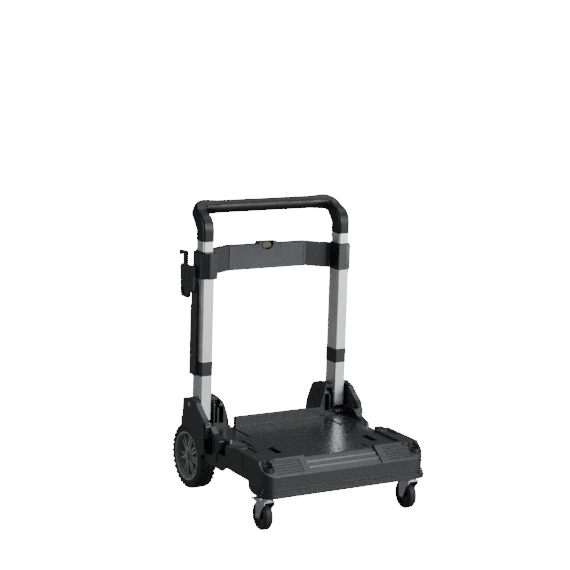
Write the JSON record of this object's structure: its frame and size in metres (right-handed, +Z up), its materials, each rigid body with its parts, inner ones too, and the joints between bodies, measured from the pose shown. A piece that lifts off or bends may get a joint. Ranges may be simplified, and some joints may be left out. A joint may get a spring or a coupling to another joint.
{
  "type": "folding platform cart",
  "caption": "Folding platform cart: ribbed plastic deck on rear wheels and front swivel casters, fold-down tube frame with cross bar and pull-out U handle.",
  "frame": {"origin": "centre of the footprint on the floor, below the middle of the overall box", "axes": "+X to the cart's right seen from behind the handle's front side, -Y towards the front casters, +Z up"},
  "size_m": [0.49, 0.538, 0.778],
  "materials": {
    "black_plastic": "satin",
    "grip_plastic": "satin",
    "panel_plastic": "satin",
    "tube_aluminium": "satin",
    "zinc_steel": "satin",
    "latch_steel": "satin",
    "steel": "polished",
    "rim_plastic": "satin",
    "tyre_rubber": "matte",
    "hub_plastic": "satin",
    "webbing": "matte",
    "button_plastic": "gloss"
  },
  "bodies": {
    "base": {"deck": "black_plastic", "bracket_outer_left": "black_plastic", "bracket_outer_right": "black_plastic", "bracket_inner_left": "black_plastic", "bracket_inner_right": "black_plastic", "rear_axle": "steel", "wheel_bolt_left": "steel", "wheel_bolt_right": "steel", "pivot_bolt_left": "steel", "pivot_bolt_right": "steel", "tube_rest_left": "latch_steel", "tube_rest_right": "latch_steel", "latch_plate_left": "latch_steel", "latch_plate_right": "latch_steel", "caster_plate_left": "zinc_steel", "caster_plate_right": "zinc_steel", "caster_screws": "steel", "bracket_screws": "steel"},
    "lock_left": {"lock_bar_left": "steel"},
    "lock_right": {"lock_bar_right": "steel"},
    "tube_frame": {"outer_tube_left": "tube_aluminium", "outer_tube_right": "tube_aluminium", "tube_plug_left": "black_plastic", "tube_plug_right": "black_plastic", "pivot_bush_left": "black_plastic", "pivot_bush_right": "black_plastic", "tube_collar_left": "black_plastic", "tube_collar_right": "black_plastic", "tube_guide_left": "black_plastic", "tube_guide_right": "black_plastic", "crossbar_shell": "black_plastic", "crossbar_panel": "panel_plastic", "button_bezel": "black_plastic", "crossbar_screws": "steel", "strap_webbing_left": "webbing", "strap_webbing_right": "webbing", "strap_hook_left": "black_plastic", "strap_hook_right": "black_plastic"},
    "handle": {"inner_tube_left": "tube_aluminium", "inner_tube_right": "tube_aluminium", "slider_shoe_left": "black_plastic", "slider_shoe_right": "black_plastic", "handle_grip": "grip_plastic"},
    "button": {"release_button": "button_plastic"},
    "wheel_left": {"tyre_left": "tyre_rubber", "rim_left": "rim_plastic", "wheel_bush_left": "black_plastic"},
    "fork_left": {"caster_fork_left": "zinc_steel", "caster_axle_left": "steel"},
    "caster_left": {"caster_tyre_left": "tyre_rubber", "caster_hub_left": "hub_plastic"},
    "wheel_right": {"tyre_right": "tyre_rubber", "rim_right": "rim_plastic", "wheel_bush_right": "black_plastic"},
    "fork_right": {"caster_fork_right": "zinc_steel", "caster_axle_right": "steel"},
    "caster_right": {"caster_tyre_right": "tyre_rubber", "caster_hub_right": "hub_plastic"},
    "brake": {"brake_pedal_left": "black_plastic"}
  },
  "joints": [
    {"name": "frame_fold", "type": "hinge", "parent": "base", "child": "tube_frame", "pos_m": [0, 0.152, 0.24], "axis": [1, 0, 0], "range_deg": [0, 90]},
    {"name": "handle_slide", "type": "slide", "parent": "tube_frame", "child": "handle", "axis": [0, 0, 1], "range_m": [0, 0.3]},
    {"name": "button_press", "type": "slide", "parent": "tube_frame", "child": "button", "axis": [0, 0, -1], "range_m": [0, 0.006], "stiffness_N_per_m": 400},
    {"name": "lock_left_lift", "type": "slide", "parent": "base", "child": "lock_left", "axis": [0, 0, -1], "range_m": [0, 0.004], "stiffness_N_per_m": 800},
    {"name": "wheel_left_spin", "type": "hinge", "parent": "base", "child": "wheel_left", "pos_m": [-0.2125, 0.18, 0.089], "axis": [1, 0, 0], "continuous": true},
    {"name": "caster_left_swivel", "type": "hinge", "parent": "base", "child": "fork_left", "pos_m": [-0.215, -0.222, 0.085], "axis": [0, 0, 1], "continuous": true},
    {"name": "caster_left_spin", "type": "hinge", "parent": "fork_left", "child": "caster_left", "pos_m": [-0.215, -0.21, 0.0375], "axis": [1, 0, 0], "continuous": true},
    {"name": "lock_right_lift", "type": "slide", "parent": "base", "child": "lock_right", "axis": [0, 0, -1], "range_m": [0, 0.004], "stiffness_N_per_m": 800},
    {"name": "wheel_right_spin", "type": "hinge", "parent": "base", "child": "wheel_right", "pos_m": [0.2125, 0.18, 0.089], "axis": [1, 0, 0], "continuous": true},
    {"name": "caster_right_swivel", "type": "hinge", "parent": "base", "child": "fork_right", "pos_m": [0.215, -0.222, 0.085], "axis": [0, 0, 1], "continuous": true},
    {"name": "caster_right_spin", "type": "hinge", "parent": "fork_right", "child": "caster_right", "pos_m": [0.215, -0.21, 0.0375], "axis": [1, 0, 0], "continuous": true},
    {"name": "brake_press", "type": "hinge", "parent": "fork_left", "child": "brake", "pos_m": [-0.215, -0.191, 0.0775], "axis": [1, 0, 0], "range_deg": [-8, 0]}
  ]
}
